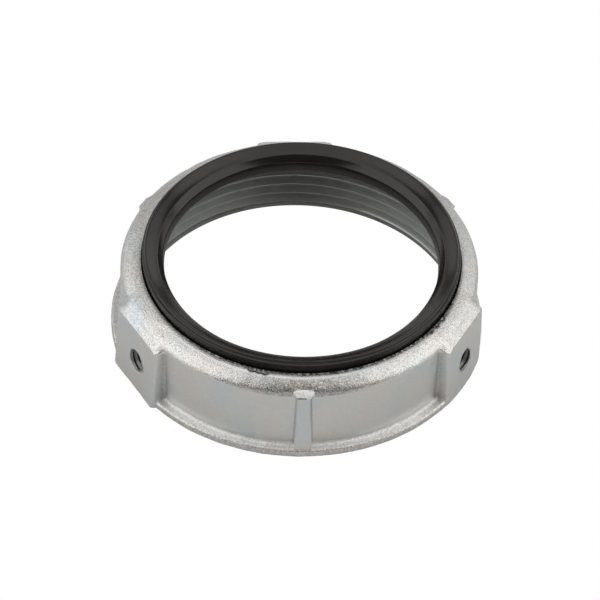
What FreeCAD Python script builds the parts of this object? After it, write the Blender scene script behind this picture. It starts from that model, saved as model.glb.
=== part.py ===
"""Insulated conduit bushing, 3 inch trade size: a cast threaded ring with a moulded throat liner.

The origin is on the thread's axis in the plane of the lower face, and +Z points to the liner.
One pad faces +Y, and the front rib faces -Y.
"""
import FreeCAD, Part
import math
import os

import Sketcher

# Driving dimensions in millimetres and degrees
SIZES = {
    # Conduit thread, given at the crests of the internal thread
    "thread_radius": 42.0,
    "thread_lead_in": 0.3,
    # Cast ring
    "wall_thickness": 3.5,
    "body_height": 22.5,
    "shoulder_drop": 2.7,
    "shoulder_slope": 42.0,
    "shoulder_edge_radius": 0.6,
    "crown_slope": 10.0,
    "crown_radius": 6.0,
    "rim_width": 2.55,
    "rim_height": 2.15,
    "rim_edge_radius": 0.35,
    "ledge_fillet": 0.6,
    # Flange that stops the conduit and carries the liner
    "flange_thickness": 3.8,
    "seat_depth": 1.8,
    # Pads, flush with the rim at their foot, and ribs, set back from it
    "pad_count": 3,
    "pad_width": 20.2,
    "pad_edge_radius": 1.2,
    "rib_width": 4.8,
    "rib_setback": 0.5,
    "rib_edge_radius": 0.7,
    "face_draft": 4.2,
    "side_draft": 2.0,
    "top_slope": 34.4,
    "top_rise": 0.5,
    # Tapped cross holes, given at the crests of their thread
    "hole_height": 9.5,
    "hole_radius": 2.6,
    "hole_countersink": 0.35,
    "hole_floor": 1.3,
    "drill_point": 118.0,
    # Liner, set in from the thread's crests
    "liner_inset": 1.7,
    "liner_width": 5.4,
    "sleeve_wall": 2.5,
    "sleeve_depth": 1.1,
    "liner_clearance": 0.1,
    "liner_height": 5.0,
    "liner_step_height": 3.9,
    "liner_step": 0.5,
    "funnel_drop": 1.9,
    "lip_flare": 1.65,
    "lip_depth": 1.5,
    "lip_radius": 0.4,
    "ridge_radius": 0.45,
    # Distance that a cutting outline runs past the part
    "cut_margin": 5.0,
}

# Sizes that follow from the driving ones, as expressions on the sheet
WALL = "(sizes.thread_radius + sizes.wall_thickness)"
ROOT = "(sizes.thread_radius + sizes.wall_thickness / 4)"
RIM = f"({WALL} + sizes.rim_width)"
RIB_FACE = f"({RIM} - sizes.rib_setback)"
SEAT = "(sizes.body_height - sizes.seat_depth)"
FLANGE_UNDERSIDE = f"({SEAT} - sizes.flange_thickness)"
LINER = "(sizes.thread_radius - sizes.liner_inset)"
THROAT = f"({LINER} - sizes.liner_width)"
SLEEVE = f"({THROAT} + sizes.sleeve_wall)"
FLANGE_BORE = f"({SLEEVE} + sizes.liner_clearance)"
RECESS = f"({LINER} + sizes.liner_clearance)"
FACE_DRAFT = "tan(sizes.face_draft * 1 deg)"
SIDE_DRAFT = "tan(sizes.side_draft * 1 deg)"
# The shoulder rises from the wall and meets the flatter crown, which ends at the liner's recess
SHOULDER = "(sizes.body_height - sizes.shoulder_drop)"
SHOULDER_SLOPE = "tan(sizes.shoulder_slope * 1 deg)"
CROWN_SLOPE = "tan(sizes.crown_slope * 1 deg)"
SHOULDER_LIFT = f"({SHOULDER_SLOPE} * ({WALL} - {RECESS}) - sizes.shoulder_drop)"
CROWN_RUN = f"({SHOULDER_LIFT} / ({SHOULDER_SLOPE} - {CROWN_SLOPE}))"
CROWN = f"({RECESS} + {CROWN_RUN})"
CROWN_HEIGHT = f"(sizes.body_height - {CROWN_SLOPE} * {CROWN_RUN})"
# A plane slope, just clear of the shoulder, tops the pads and ribs.
# Its height plus the tangent times its distance from the axis is constant.
TOP_SLOPE = "tan(sizes.top_slope * 1 deg)"
SLOPE = f"({TOP_SLOPE} * {WALL} + {SHOULDER} + sizes.top_rise)"
SLOPE_TOP = "(sizes.body_height - sizes.shoulder_drop / 2)"
ABOVE = "(sizes.body_height + sizes.cut_margin)"
BEYOND = f"({RIM} + sizes.cut_margin)"
# Tapped hole, measured outward from the thread's axis
DRILL_TIP = "(sizes.thread_radius + sizes.hole_floor)"
DRILL_END = f"({DRILL_TIP} + sizes.hole_radius / tan(sizes.drill_point / 2 * 1 deg))"
HOLE_MOUTH = f"({RIM} - sizes.hole_height * {FACE_DRAFT} - sizes.hole_countersink)"


def make_sheet(doc):
    """Put every driving dimension in its own aliased cell."""
    sheet = doc.addObject("Spreadsheet::Sheet", "sizes")
    for row, (alias, value) in enumerate(SIZES.items(), start=1):
        sheet.set(f"A{row}", alias)
        sheet.set(f"B{row}", str(value))
        sheet.setAlias(f"B{row}", alias)
    doc.recompute()
    return sheet


def origin_feature(body, role):
    """Find one of a body's own origin planes or axes."""
    return next(feature for feature in body.Origin.OriginFeatures if feature.Role == role)


def make_sketch(body, plane, name):
    """Add an empty sketch on one of the body's origin planes."""
    sketch = body.newObject("Sketcher::SketchObject", name)
    sketch.AttachmentSupport = [(origin_feature(body, plane), "")]
    sketch.MapMode = "FlatFace"
    return sketch


def bind(sketch, kind, corner, expression):
    """Measure one corner of a sketch from its origin by an expression on the sheet."""
    value = sketch.evalExpression(expression)
    value = float(getattr(value, "Value", value))
    index = sketch.addConstraint(Sketcher.Constraint(kind, -1, 1, corner, 1, value))
    sketch.setExpression(f"Constraints[{index}]", expression)


def outline(body, plane, name, corners):
    """Draw a closed outline whose corners are pairs of expressions."""
    sketch = make_sketch(body, plane, name)
    points = []
    for across, up in corners:
        pair = [sketch.evalExpression(expression) for expression in (across, up)]
        points.append(FreeCAD.Vector(*[float(getattr(value, "Value", value)) for value in pair], 0))
    count = len(points)
    for index, point in enumerate(points):
        sketch.addGeometry(Part.LineSegment(point, points[(index + 1) % count]))
    for index in range(count):
        sketch.addConstraint(Sketcher.Constraint("Coincident", index, 2, (index + 1) % count, 1))
    for index, (across, up) in enumerate(corners):
        bind(sketch, "DistanceX", index, across)
        bind(sketch, "DistanceY", index, up)
    return sketch


def revolve(body, name, sketch):
    """Turn a section on the YZ plane into a ring about Z."""
    ring = body.newObject("PartDesign::Revolution", name)
    ring.Profile = sketch
    ring.ReferenceAxis = (origin_feature(body, "Z_Axis"), [""])
    ring.Angle = 360
    body.Document.recompute()
    return ring


def extrude(body, kind, name, sketch, length, side="One side", reverse=False):
    """Pad or pocket a sketch by an expression."""
    feature = body.newObject(f"PartDesign::{kind}", name)
    feature.Profile = sketch
    feature.SideType = side
    feature.Reversed = reverse
    feature.setExpression("Length", length)
    body.Document.recompute()
    return feature


def bore(body, name, sketch):
    """Cut a section on the YZ plane away about the line through its last edge."""
    cut = body.newObject("PartDesign::Groove", name)
    cut.Profile = sketch
    cut.ReferenceAxis = (sketch, [f"Edge{sketch.GeometryCount}"])
    cut.Angle = 360
    body.Document.recompute()
    return cut


def polar_pattern(body, name, originals):
    """Repeat features about Z, once for each pad."""
    pattern = body.newObject("PartDesign::PolarPattern", name)
    pattern.Originals = originals
    pattern.Axis = (origin_feature(body, "Z_Axis"), [""])
    pattern.Angle = 360
    pattern.setExpression("Occurrences", "sizes.pad_count")
    body.Tip = pattern
    body.Document.recompute()
    return pattern


def dress(body, kind, name, base, edges, size_name, expression):
    """Fillet or chamfer chosen edges of a feature."""
    feature = body.newObject(f"PartDesign::{kind}", name)
    feature.Base = (base, [f"Edge{number}" for number in edges])
    feature.setExpression(size_name, expression)
    body.Tip = feature
    body.Document.recompute()
    return feature


def upright_edges(feature, direction, count, half_width, outside):
    """Numbers of a feature's straight upright edges beyond a radius, near the evenly spaced directions."""
    found = []
    for number, edge in enumerate(feature.Shape.Edges, start=1):
        if not isinstance(edge.Curve, Part.Line) or abs(edge.Curve.Direction.z) < 0.9:
            continue
        middle = edge.CenterOfMass
        pitch = 360 / count
        turn = (math.degrees(math.atan2(middle.y, middle.x)) - direction + pitch / 2) % pitch - pitch / 2
        radius = math.hypot(middle.x, middle.y)
        if radius > outside and abs(radius * math.sin(math.radians(turn))) < half_width:
            found.append(number)
    return found


def circles_at(feature, radius, height):
    """Numbers of a feature's edges that are full circles about Z of one radius and height."""
    found = []
    for number, edge in enumerate(feature.Shape.Edges, start=1):
        if not isinstance(edge.Curve, Part.Circle):
            continue
        center = edge.Curve.Center
        on_axis = math.hypot(center.x, center.y) < 1e-6
        if on_axis and abs(edge.Curve.Radius - radius) < 1e-6 and abs(center.z - height) < 1e-6:
            found.append(number)
    return found


def make_body(doc, value):
    """The cast ring with its rim, pads, tapped holes, ribs and flange."""
    body = doc.addObject("PartDesign::Body", "bushing_body")
    section = outline(body, "YZ_Plane", "ring_section", [
        ("sizes.thread_radius + sizes.thread_lead_in", "0"),
        (RIM, "0"),
        (RIM, "sizes.rim_height"),
        (WALL, "sizes.rim_height"),
        (WALL, SHOULDER),
        (CROWN, CROWN_HEIGHT),
        (RECESS, "sizes.body_height"),
        (RECESS, SEAT),
        (FLANGE_BORE, SEAT),
        (FLANGE_BORE, FLANGE_UNDERSIDE),
        ("sizes.thread_radius", FLANGE_UNDERSIDE),
        ("sizes.thread_radius", "sizes.thread_lead_in"),
    ])
    ring = revolve(body, "ring", section)
    wall, rim = value(WALL), value(RIM)
    rim_height = value("sizes.rim_height")
    edges = circles_at(ring, value(CROWN), value(CROWN_HEIGHT))
    crown = dress(body, "Fillet", "crown", ring, edges, "Radius", "sizes.crown_radius")
    edges = circles_at(crown, wall, value(SHOULDER))
    shoulder = dress(body, "Fillet", "shoulder_edge", crown, edges, "Radius", "sizes.shoulder_edge_radius")
    edges = circles_at(shoulder, wall, rim_height)
    cove = dress(body, "Fillet", "ledge_cove", shoulder, edges, "Radius", "sizes.ledge_fillet")
    edges = circles_at(cove, rim, rim_height) + circles_at(cove, rim, 0)
    dress(body, "Fillet", "rim_edges", cove, edges, "Radius", "sizes.rim_edge_radius")

    taper = f"({SLOPE_TOP} * {SIDE_DRAFT})"
    pad_front = outline(body, "XZ_Plane", "pad_front", [
        ("-sizes.pad_width / 2", "0"),
        ("sizes.pad_width / 2", "0"),
        (f"sizes.pad_width / 2 - {taper}", SLOPE_TOP),
        (f"-sizes.pad_width / 2 + {taper}", SLOPE_TOP),
    ])
    pad_front.setExpression("AttachmentOffset.Base.z", f"-{ROOT}")
    boss = extrude(body, "Pad", "pad_boss", pad_front, f"{RIM} - {ROOT}", reverse=True)
    pad_top = f"(({SLOPE} - {TOP_SLOPE} * {RIM}) / (1 - {TOP_SLOPE} * {FACE_DRAFT}))"
    pad_side = outline(body, "YZ_Plane", "pad_side", [
        (RIM, "0"),
        (f"({SLOPE} - {pad_top}) / {TOP_SLOPE}", pad_top),
        (f"({SLOPE} - {ABOVE}) / {TOP_SLOPE}", ABOVE),
        (BEYOND, ABOVE),
        (BEYOND, "0"),
    ])
    facing = extrude(body, "Pocket", "pad_facing", pad_side, "sizes.pad_width", side="Symmetric")
    hole_section = outline(body, "YZ_Plane", "hole_section", [
        (DRILL_TIP, "sizes.hole_height"),
        (DRILL_END, "sizes.hole_height + sizes.hole_radius"),
        (HOLE_MOUTH, "sizes.hole_height + sizes.hole_radius"),
        (BEYOND, f"sizes.hole_height + sizes.hole_radius + {BEYOND} - {HOLE_MOUTH}"),
        (BEYOND, "sizes.hole_height"),
    ])
    hole = bore(body, "tapped_hole", hole_section)
    pads = polar_pattern(body, "pads", [boss, facing, hole])
    corners = upright_edges(pads, 90, value("sizes.pad_count"), value("sizes.pad_width"), wall)
    dress(body, "Fillet", "pad_corners", pads, corners, "Radius", "sizes.pad_edge_radius")

    rib_front = outline(body, "XZ_Plane", "rib_front", [
        ("-sizes.rib_width / 2", "sizes.rim_height / 2"),
        ("sizes.rib_width / 2", "sizes.rim_height / 2"),
        (f"sizes.rib_width / 2 - {taper}", SLOPE_TOP),
        (f"-sizes.rib_width / 2 + {taper}", SLOPE_TOP),
    ])
    rib_front.setExpression("AttachmentOffset.Base.z", ROOT)
    rib = extrude(body, "Pad", "rib", rib_front, f"{RIB_FACE} - {ROOT}")
    rib_foot = f"({RIB_FACE} + sizes.rim_height * {FACE_DRAFT})"
    rib_top = f"(({SLOPE} - {TOP_SLOPE} * {rib_foot}) / (1 - {TOP_SLOPE} * {FACE_DRAFT}))"
    rib_side = outline(body, "YZ_Plane", "rib_side", [
        (f"-{RIB_FACE}", "sizes.rim_height"),
        (f"-({SLOPE} - {rib_top}) / {TOP_SLOPE}", rib_top),
        (f"-({SLOPE} - {ABOVE}) / {TOP_SLOPE}", ABOVE),
        (f"-{BEYOND}", ABOVE),
        (f"-{BEYOND}", "sizes.rim_height"),
    ])
    rib_facing = extrude(body, "Pocket", "rib_facing", rib_side, "sizes.rib_width", side="Symmetric")
    ribs = polar_pattern(body, "ribs", [rib, rib_facing])
    corners = upright_edges(ribs, -90, value("sizes.pad_count"), value("sizes.rib_width"), wall)
    dress(body, "Fillet", "rib_corners", ribs, corners, "Radius", "sizes.rib_edge_radius")
    return body


def make_liner(doc, value):
    """The moulded ring with a stepped outer wall, a ridge, a funnel and a lip into the throat."""
    body = doc.addObject("PartDesign::Body", "insulating_liner")
    top = f"({SEAT} + sizes.liner_height)"
    step = f"({SEAT} + sizes.liner_step_height)"
    ridge_side = f"({LINER} - sizes.liner_step)"
    lip = f"({THROAT} + sizes.lip_flare)"
    lip_height = f"({top} - sizes.funnel_drop)"
    sleeve_end = f"({SEAT} - sizes.sleeve_depth)"
    section = outline(body, "YZ_Plane", "liner_section", [
        (LINER, SEAT),
        (LINER, step),
        (ridge_side, f"{step} + sizes.liner_step / 2"),
        (ridge_side, top),
        (lip, lip_height),
        (THROAT, f"{lip_height} - sizes.lip_depth"),
        (THROAT, sleeve_end),
        (SLEEVE, sleeve_end),
        (SLEEVE, SEAT),
    ])
    ring = revolve(body, "liner_ring", section)
    ridge_edges = circles_at(ring, value(ridge_side), value(top))
    ridge = dress(body, "Fillet", "ridge", ring, ridge_edges, "Radius", "sizes.ridge_radius")
    lip_edges = circles_at(ridge, value(lip), value(lip_height))
    dress(body, "Fillet", "lip", ridge, lip_edges, "Radius", "sizes.lip_radius")
    return body


def check(doc, parts):
    """Stop before anything is written if a feature failed or a shape is unsound."""
    for item in doc.Objects:
        if "Invalid" in item.State or "Error" in item.State:
            raise RuntimeError(f"{item.Label} failed: {item.State}")
    for part in parts:
        if part.Shape.isNull() or not part.Shape.isValid() or len(part.Shape.Solids) != 1:
            raise RuntimeError(f"{part.Label} is not one valid solid")


def main():
    doc = FreeCAD.newDocument("conduit_bushing")
    sheet = make_sheet(doc)

    def value(expression):
        result = sheet.evalExpression(expression)
        return float(getattr(result, "Value", result))

    parts = [make_body(doc, value), make_liner(doc, value)]
    doc.recompute()
    check(doc, parts)
    os.makedirs("parts", exist_ok=True)
    for part in parts:
        part.Shape.exportStep(f"parts/{part.Label}.step")
        box = part.Shape.BoundBox
        print(part.Label, "volume", round(part.Shape.Volume, 1), "height", round(box.ZMax - box.ZMin, 2))


main()
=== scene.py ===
"""Looks of the insulated conduit bushing: a zinc plated casting with a cut thread, and a black liner."""
import math

import bmesh
import bpy
import numpy as np
from mathutils import Matrix, Vector


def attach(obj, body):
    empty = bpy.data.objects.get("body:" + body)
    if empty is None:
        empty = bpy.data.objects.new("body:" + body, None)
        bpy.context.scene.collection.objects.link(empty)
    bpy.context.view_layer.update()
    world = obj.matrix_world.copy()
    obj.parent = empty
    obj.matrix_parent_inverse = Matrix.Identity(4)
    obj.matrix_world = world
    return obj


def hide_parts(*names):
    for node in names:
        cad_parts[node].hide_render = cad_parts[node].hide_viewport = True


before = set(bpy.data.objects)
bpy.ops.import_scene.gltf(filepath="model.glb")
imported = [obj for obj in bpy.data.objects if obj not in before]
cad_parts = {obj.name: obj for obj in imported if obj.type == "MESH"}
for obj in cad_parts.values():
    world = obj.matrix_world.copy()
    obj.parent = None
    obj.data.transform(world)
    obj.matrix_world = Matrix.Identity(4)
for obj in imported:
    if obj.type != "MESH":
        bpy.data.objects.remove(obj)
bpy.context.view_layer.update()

MM = 0.001
# Direction of the front rib, in degrees
FRONT = 270.0

# Cast ring, in millimetres
THREAD_RADIUS = 42.0
WALL_RADIUS = 45.5
RIM_RADIUS = 48.05
RIM_HEIGHT = 2.15
RIM_EDGE = 0.85
FOOT_EDGE = 0.35
LEDGE_COVE = 0.85
BODY_HEIGHT = 22.5
# The rim is narrower at the right, round this direction in degrees
RIM_SLIM = 0.7
SLIM_DIRECTION = 2.0
# The shoulder is part of a wide arc: the centre of its section and its radius
DOME_CENTER = (38.75, 13.14)
DOME_RADIUS = 9.5
SHOULDER_EDGE = 0.8
# A plane slope, just clear of the shoulder, tops the pads and ribs
SLOPE_TURN = math.radians(34.4)
SLOPE_GAP = 0.05
SLOPE_TOP = 21.15
RECESS_RADIUS = 40.4
# The recess widens a little at its mouth
MOUTH_WIDENING = 0.25
MOUTH_DEPTH = 0.35
SEAT_HEIGHT = 20.7
FLANGE_RADIUS = 37.5
FLANGE_UNDERSIDE = 16.9
FLANGE_EDGE = 0.4
FLANGE_CHAMFER = 0.3
# The recess and the flange were machined off centre, so the liner sits this far towards +X
SEAT_OFFSET = 0.45
# The cast skin lies this far inside the nominal sizes on average
SKIN_DEPTH = 0.08
# Wavelength and height of its swells, and the number of waves of each length
SWELLS = ((9.0, 0.035), (5.0, 0.025), (2.6, 0.018), (1.5, 0.012))
WAVES = 4
SWELL_SEED = 11

# Pads and ribs
PAD_DIRECTIONS = (90.0, 210.0, 330.0)
RIB_DIRECTIONS = (30.0, 150.0, 270.0)
FACE_DRAFT = math.tan(math.radians(4.2))
PAD_WIDTH = 20.2
PAD_DRAFT = math.tan(math.radians(0.6))
PAD_CORNER = 1.2
PAD_TOP_EDGE = 0.22
PAD_COVE = 0.6
# The two front pads are narrower, stand out a little further than the rim and lie behind their holes
FRONT_PAD_WIDTH = 19.8
PAD_PROUD = 0.35
PAD_SHIFT = 1.0
# The right pad is trimmed round at its foot, this far outside the rim
TRIM_GAP = 0.1
TRIM_EDGE = 0.3
# A pad's top lies below the slope and bends into the shoulder, at its sides from a lower height
PAD_SINK = 0.15
PAD_BEND_HEIGHT = 20.6
SIDE_SINK = 0.8
SIDE_SINK_START = 7.0
SIDE_SINK_WIDTH = 2.6
SIDE_SINK_HEIGHT = 17.9
SIDE_SINK_RISE = 1.3
RIB_WIDTH = 4.8
RIB_FACE = RIM_RADIUS - 0.5
RIB_DRAFT = math.tan(math.radians(2.0))
RIB_CORNER = 0.7
RIB_TOP_EDGE = 0.35
RIB_COVE = 0.5
# A rib flares where it runs into the shoulder, and its cap sinks in there
RIB_FLARE = 0.75
RIB_FLARE_HEIGHT = 18.2
RIB_FLARE_RISE = 1.8
RIB_CAP_SINK = 1.2
RIB_CAP_HEIGHT = 20.3
RIB_CAP_RISE = 1.0

# Stake marks that hold the liner: direction and radius of each dent
STAKE_DENTS = ((252.0, 41.2), (254.5, 41.2), (256.8, 41.3), (320.5, 41.3), (324.2, 41.4), (328.0, 41.3))
# Height of the middle of every dent, and half its length, width and depth
DENT_HEIGHT = 22.3
DENT_LENGTH = 1.0
DENT_WIDTH = 0.6
DENT_DEPTH = 0.5

# Conduit thread, right hand, and the place of a crest at the back of the ring
PITCH = 3.175
THREAD_DEPTH = 2.05
CREST_HEIGHT = 1.75
CREST_ANGLE = 87.2
ENTRY_CHAMFER = 0.25
THREAD_END = FLANGE_UNDERSIDE - 0.05
# The thread reaches its depth over a length above a height, and runs out over a part of its last turn
THREAD_START = 0.9
START_LENGTH = 1.3
RUN_OUT = 0.9 * PITCH
RUN_OUT_DEPTH = 0.25
# Half the flat of a crest and of a root, and the rows of points on each turn, as parts of the pitch
CREST_FLAT = 0.035
ROOT_FLAT = 0.07
THREAD_PHASES = np.array([0.0, 0.035, 0.07, 0.17, 0.29, 0.40, 0.5, 0.60, 0.71, 0.83, 0.93, 0.965])

# Tapped cross holes
HOLE_HEIGHT = 9.5
HOLE_RADIUS = 2.6
HOLE_PITCH = 1.27
HOLE_THREAD = 0.42
HOLE_MOUTH = 47.35
COUNTERSINK = 0.35
DRILL_END = 44.86
DRILL_TIP = 43.3

# Liner
LINER_RADIUS = 40.3
LINER_FOOT = 19.6
LINER_BORE = 34.72
SLEEVE_RADIUS = 37.4
WALL_TOP = 24.45


# Shape of the casting, as a distance to its surface


def rise(value, start, width):
    """Zero up to a start, then rising to one over a width."""
    return np.clip((value - start) / width, 0, 1)


def lobe(angle, direction, gain, level):
    """One round a direction in degrees, falling to zero away from it."""
    return np.clip(gain * np.cos(np.radians(angle - direction)) - level, 0, 1)


def degrees_from(angle, direction):
    """Angle from one direction, between -180 and 180 degrees."""
    return (angle - direction + 180) % 360 - 180


def turn_from(angle, directions):
    """Angle from the nearest of evenly spaced directions, in radians."""
    pitch = 360.0 / len(directions)
    return np.radians((angle - directions[0] + pitch / 2) % pitch - pitch / 2)


def round_union(a, b, radius):
    """Join two shapes with a cove of one radius between them."""
    inside = np.hypot(np.maximum(radius - a, 0), np.maximum(radius - b, 0))
    return np.maximum(radius, np.minimum(a, b)) - inside


def round_cut(a, b, radius):
    """What two shapes have in common, with its edge rounded to one radius."""
    outside = np.hypot(np.maximum(radius + a, 0), np.maximum(radius + b, 0))
    return np.minimum(-radius, np.maximum(a, b)) + outside


def uneven(x, y, z):
    """Slow swells of a cast surface, about a twentieth of a millimetre high."""
    rng = np.random.default_rng(SWELL_SEED)
    total = np.zeros_like(x)
    for wavelength, height in SWELLS:
        for _ in range(WAVES):
            direction = rng.normal(size=3)
            direction *= 2 * math.pi / wavelength / np.linalg.norm(direction)
            phase = rng.uniform(0, 2 * math.pi)
            total += height / 2 * np.sin(direction[0] * x + direction[1] * y + direction[2] * z + phase)
    return total


def slope_distance(out, z):
    """Distance above the slope that tops the pads and ribs."""
    out, up = out - DOME_CENTER[0], z - DOME_CENTER[1]
    return out * math.sin(SLOPE_TURN) + up * math.cos(SLOPE_TURN) - DOME_RADIUS - SLOPE_GAP


def pad_distance(radius, angle, z):
    """Distance to the drafted pads with their sloped tops."""
    turn = turn_from(angle, PAD_DIRECTIONS)
    front = np.sin(np.radians(angle)) < 0
    shift = np.where(front, PAD_SHIFT * np.sign(np.cos(np.radians(angle))), 0)
    out, across = radius * np.cos(turn), np.abs(radius * np.sin(turn) - shift)
    face = (out - RIM_RADIUS - np.where(front, PAD_PROUD, 0) + z * FACE_DRAFT) / math.hypot(1, FACE_DRAFT)
    width = np.where(front, FRONT_PAD_WIDTH, PAD_WIDTH)
    side = (across - width / 2 + z * PAD_DRAFT) / math.hypot(1, PAD_DRAFT)
    top = slope_distance(out, z) + PAD_SINK + 0.5 * np.maximum(z - PAD_BEND_HEIGHT, 0) ** 2
    to_side = rise(across, SIDE_SINK_START, SIDE_SINK_WIDTH)
    top += SIDE_SINK * to_side ** 2 * rise(z, SIDE_SINK_HEIGHT, SIDE_SINK_RISE)
    block = round_cut(round_cut(face, side, PAD_CORNER), top, PAD_TOP_EDGE)
    right = np.abs(degrees_from(angle, PAD_DIRECTIONS[2])) < 60
    return np.where(right, round_cut(block, radius - RIM_RADIUS - TRIM_GAP, TRIM_EDGE), block)


def rib_distance(radius, angle, z):
    """Distance to the narrow ribs between the pads."""
    turn = turn_from(angle, RIB_DIRECTIONS)
    out, across = radius * np.cos(turn), np.abs(radius * np.sin(turn))
    face = (out - RIB_FACE + (z - RIM_HEIGHT) * FACE_DRAFT) / math.hypot(1, FACE_DRAFT)
    side = (across - RIB_WIDTH / 2 + z * RIB_DRAFT) / math.hypot(1, RIB_DRAFT)
    side -= RIB_FLARE * rise(z, RIB_FLARE_HEIGHT, RIB_FLARE_RISE) ** 1.5
    top = slope_distance(out, z) + SLOPE_GAP + RIB_CAP_SINK * rise(z, RIB_CAP_HEIGHT, RIB_CAP_RISE)
    block = round_cut(round_cut(face, side, RIB_CORNER), top, RIB_TOP_EDGE)
    return np.maximum(block, z - SLOPE_TOP)


def dent_distance(radius, angle, z):
    """Distance to the small hollows that a punch left beside the liner."""
    far = 9.0
    nearest = np.full(np.shape(radius), far)
    for direction, middle in STAKE_DENTS:
        along = radius * np.radians(degrees_from(angle, direction)) / DENT_LENGTH
        across, down = (radius - middle) / DENT_WIDTH, (z - DENT_HEIGHT) / DENT_DEPTH
        ball = np.sqrt(along ** 2 + across ** 2 + down ** 2)
        nearest = np.minimum(nearest, DENT_DEPTH * (ball - 1))
    return nearest


def casting_distance(radius, angle, z):
    """Distance to the outside of the whole casting, negative inside it."""
    x, y = radius * np.cos(np.radians(angle)), radius * np.sin(np.radians(angle))
    dome = np.hypot(radius - DOME_CENTER[0], np.maximum(z - DOME_CENTER[1], 0)) - DOME_RADIUS
    ring = round_cut(radius - WALL_RADIUS, dome, SHOULDER_EDGE)
    slim = RIM_SLIM * lobe(angle, SLIM_DIRECTION, 10, 8.5)
    rim = round_cut(radius - RIM_RADIUS + slim, z - RIM_HEIGHT, RIM_EDGE)
    shape = round_union(ring, rim, LEDGE_COVE)
    shape = np.minimum(shape, round_union(ring, pad_distance(radius, angle, z), PAD_COVE))
    shape = np.minimum(shape, round_union(ring, rib_distance(radius, angle, z), RIB_COVE))
    shape = np.maximum(shape + SKIN_DEPTH + uneven(x, y, z), -dent_distance(radius, angle, z))
    return round_cut(shape, -z, FOOT_EDGE)


# Meshes

# Angle in degrees between the casting's columns at fine places and elsewhere, and its growth between them
FINE_STEP = 0.26
COARSE_STEP = 1.2
STEP_GROWTH = 0.25
# Rays at 45 degrees find the outer surface. Radius less height at the ends of their groups, from the top
# of the shoulder over its edge and the wall to the ledge, and the number of rays in each group
RAY_LIMITS = (18.75, 21.0, 26.0, 28.8, 42.0, 45.7)
RAY_COUNTS = (8, 13, 15, 18, 14)
# The last rays fan round a point inside the rim, down to the lower face
FAN_CENTER = (46.6, 0.9)
FAN_TURNS = np.linspace(45, -90, 16)


def column_angles():
    """Angles of the casting's columns in degrees, closer together at pad edges, ribs and dents."""
    pad_edge = math.degrees(math.asin(PAD_WIDTH / 2 / RIM_RADIUS)) - 0.35
    beside_pad, beside_rib, beside_dent = 2.3, 4.4, 1.5
    fine = [(direction + side * pad_edge, beside_pad) for direction in PAD_DIRECTIONS for side in (-1, 1)]
    fine += [(direction, beside_rib) for direction in RIB_DIRECTIONS]
    fine += [(direction, beside_dent) for direction, _ in STAKE_DENTS]
    angles = []
    angle = 0.0
    while angle < 360.0:
        angles.append(angle)
        beyond = min(abs(degrees_from(angle, middle)) - half for middle, half in fine)
        angle += min(FINE_STEP + STEP_GROWTH * max(beyond, 0), COARSE_STEP)
    return np.array(angles)


def outer_rays():
    """Start and direction, in radius and height, of the rays to the outer surface, from top to bottom."""
    start_height, slant = 20.0, math.sqrt(0.5)
    rays = []
    for low, high, count in zip(RAY_LIMITS, RAY_LIMITS[1:], RAY_COUNTS):
        for offset in np.linspace(low, high, count, endpoint=False):
            rays.append((offset + start_height, start_height, -slant, -slant))
    reach = 10.0
    for turn in np.radians(FAN_TURNS):
        out, up = math.cos(turn), math.sin(turn)
        rays.append((FAN_CENTER[0] + reach * out, FAN_CENTER[1] + reach * up, -out, -up))
    return np.array(rays)


def outer_surface(angles):
    """Radius and height of the outer surface at each ray and column."""
    rays = outer_rays()
    radius = np.repeat(rays[:, 0:1], len(angles), axis=1)
    z = np.repeat(rays[:, 1:2], len(angles), axis=1)
    angle = np.repeat(angles[None, :], len(rays), axis=0)
    steps, caution = 70, 0.9
    for _ in range(steps):
        step = casting_distance(radius, angle, z) * caution
        radius += step * rays[:, 2:3]
        z += step * rays[:, 3:4]
    return radius, np.maximum(z, 0)


def thread_surface(angles):
    """Radius and height of the conduit thread on rows that follow its helix."""
    low, high = ENTRY_CHAMFER, THREAD_END
    turns = math.ceil((high - low) / PITCH) + 2
    phases = (np.arange(turns)[:, None] + THREAD_PHASES[None, :]).ravel()
    first = CREST_HEIGHT - PITCH * (CREST_ANGLE / 360.0) - PITCH
    first -= PITCH * math.ceil((first - low + PITCH) / PITCH - 1e-9)
    z = np.clip(first + PITCH * phases[:, None] + PITCH * angles[None, :] / 360.0, low, high)
    off_crest = (z - CREST_HEIGHT) / PITCH - (angles[None, :] - CREST_ANGLE) / 360.0
    off_crest = np.abs((off_crest + 0.5) % 1.0 - 0.5)
    depth = rise(off_crest, CREST_FLAT, 0.5 - CREST_FLAT - ROOT_FLAT) * THREAD_DEPTH
    starting = rise(z, THREAD_START, START_LENGTH)
    ending = np.clip((high - z) / RUN_OUT, RUN_OUT_DEPTH, 1)
    return THREAD_RADIUS + depth * np.minimum(starting, ending), z


def turned_rows(corners, columns):
    """Radius and height of plain turned rows, one for each corner of a section."""
    section = np.array(corners)
    return np.repeat(section[:, 0:1], columns, axis=1), np.repeat(section[:, 1:2], columns, axis=1)


def next_columns(index, first, last, per_turn):
    """Each point's neighbour in the next column.

    Where the columns close, a row of a helix meets the row one turn higher.
    """
    wrap = index[:, 0].copy()
    for row in range(first, last + 1):
        wrap[row] = index[min(row + per_turn, last), 0]
    return np.concatenate([index[:, 1:], wrap[:, None]], axis=1)


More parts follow.
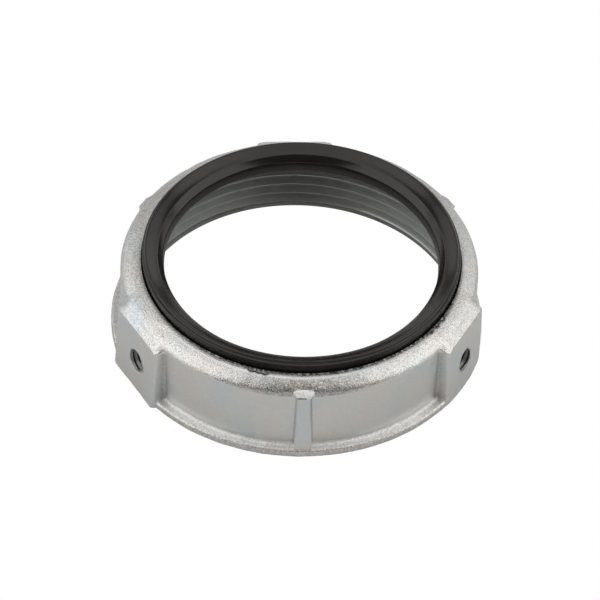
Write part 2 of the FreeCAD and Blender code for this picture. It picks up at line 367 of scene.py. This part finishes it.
def build_mesh(name, points, faces, weld=True):
    """A mesh from points in millimetres, facing outwards. Welding leaves clean triangles."""
    mesh = bpy.data.meshes.new(name)
    mesh.from_pydata((points.reshape(-1, 3) * MM).tolist(), [], faces)
    work = bmesh.new()
    work.from_mesh(mesh)
    if weld:
        bmesh.ops.remove_doubles(work, verts=work.verts, dist=0.001 * MM)
        bmesh.ops.dissolve_degenerate(work, edges=work.edges, dist=0.0001 * MM)
    bmesh.ops.recalc_face_normals(work, faces=work.faces)
    if weld:
        bmesh.ops.triangulate(work, faces=work.faces)
    work.to_mesh(mesh)
    work.free()
    return mesh


def casting_mesh():
    """The casting as one closed mesh: recess, outer surface, lower face, thread and flange."""
    angles = column_angles()
    columns = len(angles)
    foot_middle, underside_end, underside_middle = 44.6, THREAD_RADIUS + 0.4, 40.0
    recess = turned_rows((
        (RECESS_RADIUS, SEAT_HEIGHT), (RECESS_RADIUS, BODY_HEIGHT - MOUTH_DEPTH),
        (RECESS_RADIUS + MOUTH_WIDENING, BODY_HEIGHT - SKIN_DEPTH)), columns)
    foot = turned_rows(((foot_middle, 0.0), (THREAD_RADIUS + ENTRY_CHAMFER, 0.0)), columns)
    thread = thread_surface(angles)
    underside = turned_rows((
        (underside_end, FLANGE_UNDERSIDE), (underside_middle, FLANGE_UNDERSIDE)), columns)
    flange = turned_rows((
        (FLANGE_RADIUS + FLANGE_EDGE, FLANGE_UNDERSIDE),
        (FLANGE_RADIUS + FLANGE_EDGE / 4, FLANGE_UNDERSIDE + FLANGE_EDGE / 4),
        (FLANGE_RADIUS, FLANGE_UNDERSIDE + FLANGE_EDGE), (FLANGE_RADIUS, SEAT_HEIGHT - FLANGE_CHAMFER),
        (FLANGE_RADIUS + FLANGE_CHAMFER, SEAT_HEIGHT)), columns)
    parts = (recess, outer_surface(angles), foot, thread, underside, flange)
    shifts = (SEAT_OFFSET, 0.0, 0.0, 0.0, 0.0, SEAT_OFFSET)
    radius = np.concatenate([part[0] for part in parts])
    z = np.concatenate([part[1] for part in parts])
    shift = np.concatenate([np.full((len(part[0]), 1), amount) for part, amount in zip(parts, shifts)])
    turn = np.radians(angles)[None, :]
    points = np.stack([radius * np.cos(turn) + shift, radius * np.sin(turn), z], axis=-1)
    index = np.arange(radius.size).reshape(radius.shape)
    first = sum(len(part[0]) for part in parts[:3])
    following = next_columns(index, first, first + len(thread[0]) - 1, len(THREAD_PHASES))
    up, up_following = np.roll(index, -1, axis=0), np.roll(following, -1, axis=0)
    faces = np.stack([index, up, up_following, following], axis=-1).reshape(-1, 4)
    return build_mesh("bushing_casting", points, faces.tolist())


def tapped_hole_mesh():
    """A closed threaded plug along +X, the shape that a drill and tap take out of a pad."""
    columns, per_turn = 48, 8
    angles = np.arange(columns) * 360.0 / columns
    turns = math.ceil((HOLE_MOUTH - DRILL_END) / HOLE_PITCH) + 2
    phases = np.arange(turns * per_turn) / per_turn
    along = DRILL_END - HOLE_PITCH + HOLE_PITCH * (phases[:, None] + angles[None, :] / 360.0)
    along = np.clip(along, DRILL_END, HOLE_MOUTH)
    groove = (along - DRILL_END) / HOLE_PITCH - angles[None, :] / 360.0
    groove = np.abs((groove + 0.5) % 1.0 - 0.5) * 2
    thread = HOLE_RADIUS + np.clip(groove * 1.2 - 0.1, 0, 1) * HOLE_THREAD
    tip_radius, past_face = 0.02, 1.65
    drill = turned_rows(((tip_radius, DRILL_TIP), (HOLE_RADIUS, DRILL_END)), columns)
    mouth = turned_rows([
        (HOLE_RADIUS + COUNTERSINK + height, HOLE_MOUTH + height)
        for height in (0.0, COUNTERSINK, past_face)], columns)
    radius = np.concatenate([drill[0], thread, mouth[0]])
    x = np.concatenate([drill[1], along, mouth[1]])
    turn = np.radians(angles)[None, :]
    points = np.stack([x, radius * np.cos(turn), radius * np.sin(turn)], axis=-1)
    index = np.arange(radius.size).reshape(radius.shape)
    first = len(drill[0])
    following = next_columns(index, first, first + len(thread) - 1, per_turn)
    quads = np.stack([index[:-1], index[1:], following[1:], following[:-1]], axis=-1).reshape(-1, 4)
    ends = [index[0].tolist(), index[-1].tolist()]
    return build_mesh("tapped_hole", points, quads.tolist() + ends)


def add_object(name, mesh):
    """Put a mesh in the scene."""
    item = bpy.data.objects.new(name, mesh)
    bpy.context.scene.collection.objects.link(item)
    return item


def cut_holes(casting):
    """Cut a tapped hole in each pad."""
    plug_mesh = tapped_hole_mesh()
    for direction in PAD_DIRECTIONS:
        plug = add_object("plug", plug_mesh)
        turn = Matrix.Rotation(math.radians(direction), 4, "Z")
        out = PAD_PROUD * MM if direction > 180 else 0.0
        plug.matrix_world = turn @ Matrix.Translation((out, 0, HOLE_HEIGHT * MM))
        bpy.context.view_layer.update()
        cut = casting.modifiers.new("hole", "BOOLEAN")
        cut.operation = "DIFFERENCE"
        cut.solver = "MANIFOLD"
        cut.object = plug
        graph = bpy.context.evaluated_depsgraph_get()
        result = bpy.data.meshes.new_from_object(casting.evaluated_get(graph))
        casting.modifiers.clear()
        old = casting.data
        casting.data = result
        bpy.data.meshes.remove(old)
        bpy.data.objects.remove(plug)
    bpy.data.meshes.remove(plug_mesh)


def smooth(mesh, angle):
    """Shade smooth, with hard edges above an angle in degrees."""
    mesh.polygons.foreach_set("use_smooth", np.ones(len(mesh.polygons), bool))
    mesh.set_sharp_from_angle(angle=math.radians(angle))


def store(mesh, name, values):
    """Keep one number for each point of a mesh, for its material to read."""
    attribute = mesh.attributes.new(name, "FLOAT", "POINT")
    attribute.data.foreach_set("value", values.ravel().astype(np.float32))


def make_casting():
    """The casting with its tapped holes and the marks on its skin."""
    casting = add_object("bushing_casting", casting_mesh())
    cut_holes(casting)
    smooth(casting.data, angle=50)
    mark_skin(casting.data)
    return casting


def arc(center, radius, start, stop, count):
    """Points on an arc, with angles in degrees."""
    turns = np.radians(np.linspace(start, stop, count))
    return [(center[0] + radius * math.cos(t), center[1] + radius * math.sin(t)) for t in turns]


def liner_profile():
    """Corners of the liner's section in radius and height, round the section once."""
    chamfer, foot_round, wall_round = 0.25, 0.25, 0.18
    sleeve = [(SLEEVE_RADIUS, LINER_FOOT + foot_round), (SLEEVE_RADIUS, SEAT_HEIGHT)]
    wall = [(LINER_RADIUS - chamfer, SEAT_HEIGHT), (LINER_RADIUS, SEAT_HEIGHT + chamfer)]
    # A corner just below the round keeps the shading of the wall even
    wall += [(LINER_RADIUS, WALL_TOP - 0.2)]
    wall += arc((LINER_RADIUS - wall_round, WALL_TOP), wall_round, 0, 60, 4)
    step = [(40.02, 24.66), (39.83, 24.74), (39.8, 24.85)]
    ridge = arc((39.35, 24.9), 0.45, 0, 118, 10)
    funnel = [(38.4, 24.87), (37.6, 24.44), (36.9, 24.08)] + arc((36.66, 23.5), 0.5, 112, 146, 6)
    lip = [(35.2, 22.44), (35.1, 22.36), (35.02, 22.2)]
    foot_center = (LINER_BORE + foot_round, LINER_FOOT + foot_round)
    bore = [(LINER_BORE, 19.9)] + arc(foot_center, foot_round, 180, 270, 5)
    foot = [(SLEEVE_RADIUS - foot_round, LINER_FOOT)]
    return sleeve + wall + step + ridge + funnel + lip + bore + foot


def make_liner():
    """Turn the liner's section about the axis of its seat."""
    columns = 400
    turns = np.arange(columns) * 2 * math.pi / columns
    radius, z = turned_rows(liner_profile(), columns)
    points = np.stack([radius * np.cos(turns) + SEAT_OFFSET, radius * np.sin(turns), z], axis=-1)
    index = np.arange(radius.size).reshape(radius.shape)
    up, following = np.roll(index, -1, axis=0), np.roll(index, -1, axis=1)
    faces = np.stack([index, following, np.roll(up, -1, axis=1), up], axis=-1).reshape(-1, 4)
    mesh = build_mesh("liner_ring", points, faces.tolist(), weld=False)
    smooth(mesh, angle=40)
    # The outer wall is matt
    store(mesh, "matt", rise(radius, LINER_RADIUS - 0.3, 0.2) * (z < WALL_TOP + 0.15))
    return add_object("liner_ring", mesh)


# Marks on the casting's skin, with painted shade and highlights


def near_both(a, b, reach):
    """One where two surfaces meet, falling to nothing at a distance from either."""
    return np.clip(1.4 - np.hypot(np.maximum(a, 0), np.maximum(b, 0)) / reach, 0, 1)


def cove_shade(radius, angle, z):
    """Painted shade in the coves between the wall and a pad, a rib or the ledge."""
    pad_reach, rib_reach, ledge_reach = 0.8, 0.28, 0.5
    pad_shade, rib_shade, ledge_shade = 0.36, 0.4, 0.25
    lowest, pad_highest, highest = 1.0, 18.5, SLOPE_TOP - 1.5
    ledge_height = z - RIM_HEIGHT - 0.35
    wall = radius - WALL_RADIUS
    on_wall = wall > -0.3
    pad, rib = pad_distance(radius, angle, z), rib_distance(radius, angle, z)
    beside_pad = near_both(wall, pad, pad_reach) * (pad > -0.12) * on_wall * (z < pad_highest) * pad_shade
    beside_rib = near_both(wall, rib, rib_reach) * (rib > -0.12) * on_wall * rib_shade
    ledge = near_both(wall, np.abs(ledge_height), ledge_reach) * ledge_shade
    return np.maximum(np.maximum(beside_pad, beside_rib), ledge) * (z > lowest) * (z < highest)


def nick_shade(radius, angle, z):
    """Painted shade where a small notch lies in the front rib, under its cap."""
    across = radius * np.radians(degrees_from(angle, FRONT))
    middle, half_length, height, half_height, darkening = -0.6, 1.2, 19.25, 0.2, 0.9
    nick = (np.abs(across - middle) < half_length) & (np.abs(z - height) < half_height)
    return np.where(nick & (radius > WALL_RADIUS + 0.6), darkening, 0.0)


def liner_shade_and_dirt(radius, angle, z):
    """Darkening against the front half of the liner, in a wider strip at the front and at the right: painted
    shadow and reflection of the black liner, partly dirt.
    """
    in_front, at_right = 268, 322
    strip = np.clip(1.5 - np.abs(angle % 360 - at_right) / 16, 0, 1)
    strip = np.maximum(strip, lobe(angle, in_front, 2.6, 1.3))
    gap = radius - RECESS_RADIUS - SEAT_OFFSET * np.cos(np.radians(angle))
    width, wider, fade = 1.0, 0.5, 0.9
    beside_liner = np.clip((width + wider * strip - gap) / fade, 0, 1) * (z > SEAT_HEIGHT)
    return beside_liner * lobe(angle, FRONT, 2.0, -0.5)


class Skin:
    """The casting's surface: where each point lies, on which part of it, and how the skin looks there."""

    def __init__(self, mesh):
        places, normals = np.empty(len(mesh.vertices) * 3), np.empty(len(mesh.vertices) * 3)
        mesh.vertices.foreach_get("co", places)
        mesh.vertex_normals.foreach_get("vector", normals)
        x, y, z = places.reshape(-1, 3).T / MM
        radius, angle = np.hypot(x, y), np.degrees(np.arctan2(y, x))
        self.radius, self.angle, self.z = radius, angle, z
        self.level = rise(normals.reshape(-1, 3)[:, 2], 0.1, 0.5)
        self.front = lobe(angle, FRONT, 2.5, 0.9)
        # How far the shoulder has turned down from level, in degrees
        self.slope = np.degrees(np.arctan2(radius - DOME_CENTER[0], z - DOME_CENTER[1]))
        turn = turn_from(angle, PAD_DIRECTIONS)
        out, across = radius * np.cos(turn), radius * np.sin(turn)
        root_radius = THREAD_RADIUS + THREAD_DEPTH + 0.05
        self.thread = (radius < root_radius) & (z < FLANGE_UNDERSIDE - 0.02) & (z > 0.02)
        self.hole = (np.hypot(across, z - HOLE_HEIGHT) < HOLE_RADIUS + HOLE_THREAD + 0.03) & ~self.thread
        self.tapped = self.hole & (out < HOLE_MOUTH + 0.4)
        self.flange = (radius < FLANGE_RADIUS + 1.5) | (self.thread & (z > FLANGE_UNDERSIDE - 0.5))
        self.outside = ~self.thread & ~self.hole & ~self.flange
        self.pad = (out > WALL_RADIUS + 0.8) & (np.abs(across) < PAD_WIDTH / 2)
        self.rim = (z < RIM_HEIGHT + 0.3) & ~self.pad
        self.rim_edge = self.rim & (radius > RIM_RADIUS - 0.8) & self.outside
        self.dent = dent_distance(radius, angle, z) < 0.03

    def rib_cap(self):
        """The arched caps of the ribs, where they run into the shoulder."""
        half_width, depth, front_radius, lowest = 2.8, 1.85, 46.4, 18.9
        beside = self.radius * np.abs(np.sin(turn_from(self.angle, RIB_DIRECTIONS)))
        inward = np.maximum(front_radius - self.radius, 0)
        arch = 1.3 - (beside / half_width) ** 3 - (inward / depth) ** 3
        return np.where(self.z > lowest, np.clip(arch / 0.4, 0, 1), 0)

    def highlight_line(self):
        """The line round the front where the shoulder turns over to the top, where a highlight is painted."""
        middle, width = 18.5, 1.4
        line = np.clip(1.4 - np.abs(self.slope - middle) / width, 0, 1)
        return line * self.front * (self.z > SLOPE_TOP)

    def grain(self):
        """Roughness of the cast skin: most on level places, least where it was cut or punched."""
        smoothed, on_pad, upright, on_rim = 0.03, 0.12, 0.22, 0.6
        grain = np.where(self.pad & (self.level < 0.3), on_pad, upright + (1 - upright) * self.level)
        grain = np.where(self.rim, np.maximum(grain, on_rim), grain)
        grain = np.where(self.thread | self.hole, smoothed, grain)
        return np.where(self.dent, smoothed, grain * (1 - 0.6 * self.highlight_line()))

    def cut(self):
        """Cut metal: the flange, the tapped holes and the thread, less so on its crests. Its dark colour is
        painted shade, and the paler crests a painted highlight.
        """
        on_crest = 0.6
        deep = (self.radius - THREAD_RADIUS) / THREAD_DEPTH
        flank = np.where(deep < 0.06, on_crest, 1 - 0.1 * deep)
        return np.where(self.thread, flank, np.where(self.flange | self.tapped, 1.0, 0.0))

    def shade_and_dirt(self):
        """Painted shade in the coves, under the front rib's cap, on the rims of the dents and in the tapped
        holes, and against the liner painted shadow and reflection, partly dirt.
        """
        in_hole, dent_reach = 0.45, 0.15
        place = self.radius, self.angle, self.z
        punched = np.clip(1.2 - np.abs(dent_distance(*place)) / dent_reach, 0, 1)
        darkening = np.maximum(np.maximum(cove_shade(*place), nick_shade(*place)), liner_shade_and_dirt(*place))
        return np.where(self.outside, np.maximum(darkening, punched), np.where(self.hole, in_hole, 0.0))

    def pale(self):
        """Paler places: painted highlights in the dents and, round the front, on the ledge, the rib's cap and
        the line, and a paler, more diffuse rim edge.
        """
        on_rim, on_line = 0.4, 0.7
        ledge = (self.z < RIM_HEIGHT + 0.7) & (self.radius < RIM_RADIUS - 0.5)
        pale = np.maximum(ledge, self.rib_cap()) * self.level * self.front
        pale = np.where(self.rim_edge, np.maximum(pale, on_rim), pale)
        pale = np.where(self.outside, np.maximum(pale, on_line * self.highlight_line()), 0.0)
        return np.where(self.dent, 1.0, pale)

    def dimming(self):
        """Darkened places: the shoulder straight in front, below the highlight line, with painted shade for
        the dark reflection of the gap round the camera, and the rim's outer edge.
        """
        on_rim, lowest, below_line = 0.7, 19, 20
        ahead = lobe(self.angle, FRONT, 14, 13) * rise(self.slope, below_line, 3) * (1 - self.rib_cap())
        dimming = np.where(self.outside & (self.z > lowest), ahead, 0.0)
        return np.where(self.rim_edge, on_rim, dimming)


def mark_skin(mesh):
    """Store how the casting's skin looks at each point."""
    skin = Skin(mesh)
    store(mesh, "grain", skin.grain())
    store(mesh, "cut", skin.cut())
    store(mesh, "shade_and_dirt", skin.shade_and_dirt())
    store(mesh, "pale", skin.pale())
    store(mesh, "dimming", skin.dimming())


# Materials

# Colours of the casting, as stops along a noise
ZINC_TINTS = [
    (0.30, (0.58, 0.63, 0.65)), (0.48, (0.64, 0.645, 0.63)),
    (0.62, (0.66, 0.635, 0.61)), (0.75, (0.61, 0.65, 0.63))]
SPECKLE = [(0.32, (0.66, 0.645, 0.63)), (0.55, (1.0, 1.0, 1.0))]
# Painted shade on the shoulder in front, and a darker rim edge
DIMMING_COLORS = [(0.36, (0.46, 0.435, 0.41)), (0.64, (0.96, 0.93, 0.90))]
# Painted shade in coves, dents and holes, and shadow and reflection beside the liner, partly dirt
SHADE_AND_DIRT_COLORS = [(0.45, (0.06, 0.058, 0.055)), (0.72, (0.64, 0.64, 0.63))]
# Painted shade on the thread, the flange and in the tapped holes, as a dark cut-metal colour
SHADED_CUT_METAL = [(0.35, (0.31, 0.325, 0.31)), (0.65, (0.35, 0.36, 0.34))]
# Colour of the painted highlights and of the paler rim edge
PALE_HIGHLIGHT_ZINC = (0.93, 0.935, 0.92)
# Colours of the liner
BLACK = [(0.3, (0.0055, 0.0053, 0.005)), (0.7, (0.0085, 0.008, 0.0075))]
WARM_SHINE = (1.0, 0.955, 0.92)


class Nodes:
    """Short ways to add and join shader nodes."""

    def __init__(self, name):
        self.material = bpy.data.materials.new(name)
        self.material.use_nodes = True
        self.tree = self.material.node_tree
        self.shader = self.tree.nodes["Principled BSDF"]
        coordinates = self.tree.nodes.new("ShaderNodeTexCoord")
        scale = self.tree.nodes.new("ShaderNodeVectorMath")
        scale.operation = "SCALE"
        scale.inputs["Scale"].default_value = 1 / MM
        self.tree.links.new(coordinates.outputs["Object"], scale.inputs[0])
        self.place = scale.outputs["Vector"]

    def feed(self, socket, value):
        """Set a socket to a number or a colour, or join another node to it."""
        if isinstance(value, (int, float)):
            socket.default_value = value
        elif isinstance(value, tuple):
            socket.default_value = (*value, 1.0)
        else:
            self.tree.links.new(value, socket)

    def into(self, name, value):
        """Feed an input of the material's shader."""
        self.feed(self.shader.inputs[name], value)

    def attribute(self, name):
        """A number stored at each point of the mesh."""
        node = self.tree.nodes.new("ShaderNodeAttribute")
        node.attribute_name = name
        return node.outputs["Fac"]

    def noise(self, scale, detail=2.0, roughness=0.5):
        """A noise with its scale per millimetre."""
        node = self.tree.nodes.new("ShaderNodeTexNoise")
        node.inputs["Scale"].default_value = scale
        node.inputs["Detail"].default_value = detail
        node.inputs["Roughness"].default_value = roughness
        self.tree.links.new(self.place, node.inputs["Vector"])
        return node.outputs["Fac"]

    def ramp(self, value, stops):
        """Colours along a value."""
        node = self.tree.nodes.new("ShaderNodeValToRGB")
        ramp = node.color_ramp
        while len(ramp.elements) < len(stops):
            ramp.elements.new(0.5)
        for element, (position, color) in zip(ramp.elements, stops):
            element.position = position
            element.color = (*color, 1.0)
        self.tree.links.new(value, node.inputs["Fac"])
        return node.outputs["Color"]

    def math(self, operation, *values):
        """One step of arithmetic on two or three values."""
        node = self.tree.nodes.new("ShaderNodeMath")
        node.operation = operation
        for socket, value in zip(node.inputs, values):
            self.feed(socket, value)
        return node.outputs["Value"]

    def mix(self, kind, factor, a, b):
        """Two colours mixed by a factor."""
        node = self.tree.nodes.new("ShaderNodeMix")
        node.data_type = "RGBA"
        node.blend_type = kind
        self.feed(node.inputs["Factor"], factor)
        for name, value in (("A", a), ("B", b)):
            socket = [s for s in node.inputs if s.name == name and s.type == "RGBA"][0]
            self.feed(socket, value)
        return [s for s in node.outputs if s.type == "RGBA"][0]

    def bump(self, height, strength, distance, before=None):
        """A relief whose depth is in millimetres, on top of the one before."""
        node = self.tree.nodes.new("ShaderNodeBump")
        self.feed(node.inputs["Strength"], strength)
        node.inputs["Distance"].default_value = distance * MM
        self.tree.links.new(height, node.inputs["Height"])
        if before is not None:
            self.tree.links.new(before, node.inputs["Normal"])
        return node.outputs["Normal"]


def zinc_material():
    """Bright zinc over a fine sand-cast skin, smoother on pads and thread."""
    nodes = Nodes("zinc_plated_iron")
    grain, cut = nodes.attribute("grain"), nodes.attribute("cut")
    shade_and_dirt, pale, dimming = nodes.attribute("shade_and_dirt"), nodes.attribute("pale"), nodes.attribute("dimming")
    # Painted highlights and the paler rim edge lighten the colour
    tint = nodes.mix("MIX", pale, nodes.ramp(nodes.noise(0.09, 2.0), ZINC_TINTS), PALE_HIGHLIGHT_ZINC)
    plated = nodes.mix("MULTIPLY", grain, tint, nodes.ramp(nodes.noise(2.6, 3.0, 0.6), SPECKLE))
    # Painted shade on the shoulder in front, and a darker rim edge
    plated = nodes.mix("MULTIPLY", dimming, plated, nodes.ramp(nodes.noise(2.2, 3.0, 0.6), DIMMING_COLORS))
    # Painted shade inside the ring and the holes, as dark cut metal, with paler crests as a painted highlight
    metal = nodes.mix("MIX", cut, plated, nodes.ramp(nodes.noise(0.3, 2.0), SHADED_CUT_METAL))
    # Painted shade, partly dirt, darkens the colour in coves, dents, holes and beside the liner
    darkening = nodes.ramp(nodes.noise(1.4, 3.0, 0.6), SHADE_AND_DIRT_COLORS)
    nodes.into("Base Color", nodes.mix("MULTIPLY", shade_and_dirt, metal, darkening))
    nodes.into("Metallic", nodes.math("SUBTRACT", 1.0, nodes.math("MULTIPLY", pale, 0.5)))
    cloud = nodes.math("MULTIPLY_ADD", nodes.noise(0.6, 3.0), 0.12, 0.27)
    rough = nodes.math("SUBTRACT", cloud, nodes.math("MULTIPLY", grain, 0.12))
    rough = nodes.math("ADD", rough, nodes.math("MULTIPLY", cut, 0.15))
    nodes.into("Roughness", nodes.math("ADD", rough, nodes.math("MULTIPLY", pale, 0.2)))
    coarse = nodes.bump(nodes.noise(2.5, 3.0, 0.6), grain, 0.12)
    fine = nodes.bump(nodes.noise(3.5, 3.0, 0.6), 0.6, 0.03, coarse)
    nodes.into("Normal", fine)
    return nodes.material


def plastic_material():
    """Black moulded plastic with a satin skin, matt on its outer wall."""
    nodes = Nodes("black_plastic")
    nodes.into("Base Color", nodes.ramp(nodes.noise(0.35, 3.0), BLACK))
    nodes.into("Specular Tint", WARM_SHINE)
    matt = nodes.math("MULTIPLY", nodes.attribute("matt"), 0.22)
    nodes.into("Specular IOR Level", nodes.math("SUBTRACT", 0.5, matt))
    nodes.into("Roughness", nodes.math("MULTIPLY_ADD", nodes.noise(1.2, 3.0), 0.1, 0.16))
    nodes.into("Normal", nodes.bump(nodes.noise(3.0, 3.0), 0.25, 0.015))
    return nodes.material


# Stage, light and camera

# Softboxes one metre from the part: azimuth and elevation in degrees, width and height in metres, and
# power in watts. They stand at the sides, behind, overhead and low in front, with a dark gap round the camera
SOFTBOXES = {
    "left": (192, 33, 1.1, 1.5, 7.0),
    "right": (348, 33, 1.1, 1.5, 7.0),
    "front_low": (270, 10, 0.75, 0.75, 1.2),
    "back": (90, 25, 0.75, 1.3, 1.8),
    "back_left": (140, 24, 0.75, 0.75, 1.7),
    "back_right": (42, 22, 0.75, 0.75, 1.6),
    "overhead": (90, 85, 0.75, 0.75, 1.8),
}
FLOOR_SIZE = 6.0
FLOOR_HEIGHT = -0.0002
FLOOR_COLOR = (0.76, 0.76, 0.755, 1)
SKY_COLOR = (1, 0.9, 0.8, 1)
SKY_STRENGTH = 0.08


def add_softbox(name, azimuth, elevation, width, height, power):
    """An upright soft light aimed at the part."""
    data = bpy.data.lights.new(name, "AREA")
    data.shape = "RECTANGLE"
    data.size = width
    data.size_y = height
    data.energy = power
    light = bpy.data.objects.new(name, data)
    turn, lift = math.radians(azimuth), math.radians(elevation)
    place = Vector((math.cos(lift) * math.cos(turn), math.cos(lift) * math.sin(turn), math.sin(lift)))
    light.location = place
    light.rotation_euler = (-place).to_track_quat("-Z", "Y").to_euler()
    bpy.context.scene.collection.objects.link(light)


def floor_material():
    """A matt pale material that the camera itself sees as white."""
    material = bpy.data.materials.new("floor_white")
    material.use_nodes = True
    tree = material.node_tree
    shader = tree.nodes["Principled BSDF"]
    shader.inputs["Base Color"].default_value = FLOOR_COLOR
    shader.inputs["Roughness"].default_value = 0.9
    shader.inputs["Specular IOR Level"].default_value = 0.0
    glow = tree.nodes.new("ShaderNodeEmission")
    path = tree.nodes.new("ShaderNodeLightPath")
    blend = tree.nodes.new("ShaderNodeMixShader")
    tree.links.new(path.outputs["Is Camera Ray"], blend.inputs["Fac"])
    tree.links.new(shader.outputs["BSDF"], blend.inputs[1])
    tree.links.new(glow.outputs["Emission"], blend.inputs[2])
    tree.links.new(blend.outputs["Shader"], tree.nodes["Material Output"].inputs["Surface"])
    return material


def make_stage():
    """A pale floor under a faint warm sky, with the softboxes round it."""
    bpy.ops.mesh.primitive_plane_add(size=FLOOR_SIZE, location=(0, 0, FLOOR_HEIGHT))
    floor = bpy.context.object
    floor.name = "floor"
    floor.data.materials.append(floor_material())
    world = bpy.data.worlds.new("studio")
    bpy.context.scene.world = world
    world.use_nodes = True
    sky = world.node_tree.nodes["Background"]
    sky.inputs["Color"].default_value = SKY_COLOR
    sky.inputs["Strength"].default_value = SKY_STRENGTH
    for name, settings in SOFTBOXES.items():
        add_softbox(name, *settings)


def make_camera():
    """The photo's camera: 45 degrees up, slightly left of the front rib, with a long lens."""
    elevation, turn, roll = math.radians(45.308), math.radians(2.783), math.radians(-1.874)
    distance, shift_x, shift_y = 896.0, -0.448, -4.864
    s, c = math.sin(elevation), math.cos(elevation)
    forward = Vector((math.sin(turn) * c, math.cos(turn) * c, -s))
    right = Vector((math.cos(turn), -math.sin(turn), 0))
    up = Vector((math.sin(turn) * s, math.cos(turn) * s, c))
    place = -distance * forward - shift_x * right - shift_y * up
    x_axis = math.cos(roll) * right - math.sin(roll) * up
    y_axis = math.sin(roll) * right + math.cos(roll) * up
    data = bpy.data.cameras.new("photo_camera")
    data.sensor_width = 36.0
    data.lens = 208.74
    data.clip_start = 0.01
    camera = bpy.data.objects.new("photo_camera", data)
    basis = Matrix((x_axis, y_axis, -forward)).transposed()
    camera.matrix_world = Matrix.Translation(place * MM) @ basis.to_4x4()
    bpy.context.scene.collection.objects.link(camera)
    bpy.context.scene.camera = camera


def dress(piece, node, material):
    """Let a piece stand for a CAD node, with its material."""
    piece.data.materials.clear()
    piece.data.materials.append(material)
    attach(piece, "root")
    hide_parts(node)


dress(make_casting(), "bushing_body", zinc_material())
dress(make_liner(), "insulating_liner", plastic_material())
make_stage()
make_camera()
bpy.context.scene.view_settings.view_transform = "Standard"
